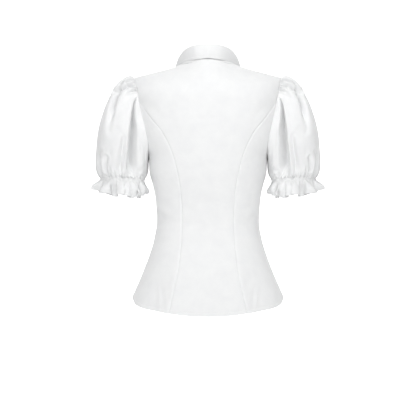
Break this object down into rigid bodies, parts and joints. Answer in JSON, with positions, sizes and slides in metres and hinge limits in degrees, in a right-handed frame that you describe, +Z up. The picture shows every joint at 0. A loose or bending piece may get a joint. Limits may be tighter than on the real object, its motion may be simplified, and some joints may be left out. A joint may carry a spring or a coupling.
{
  "type": "ruffle blouse",
  "caption": "White fitted blouse with a shirt collar, princess seams, a button front and short puff sleeves that end in a ruffle",
  "frame": {"origin": "the wearer's neck: on the body's centre line, at the height of the shoulder-neck points", "axes": "+X to the wearer's left, -Y to the front, +Z up"},
  "size_m": [0.5794, 0.2657, 0.6646],
  "materials": {
    "cotton": "white woven cotton, matte with a faint sheen",
    "button": "white resin, satin"
  },
  "bodies": {
    "root": {"back_panel": "cotton", "side_back_left": "cotton", "side_back_right": "cotton", "side_front_left": "cotton", "side_front_right": "cotton", "front_left": "cotton", "front_right": "cotton", "placket": "cotton", "collar_stand": "cotton", "collar_fall": "cotton", "sleeve_left": "cotton", "sleeve_right": "cotton", "cuff_band_left": "cotton", "cuff_band_right": "cotton", "cuff_ruffle_left": "cotton", "cuff_ruffle_right": "cotton", "button_1": "button", "button_2": "button", "button_3": "button", "button_4": "button", "button_5": "button", "button_6": "button", "button_7": "button"}
  },
  "joints": []
}
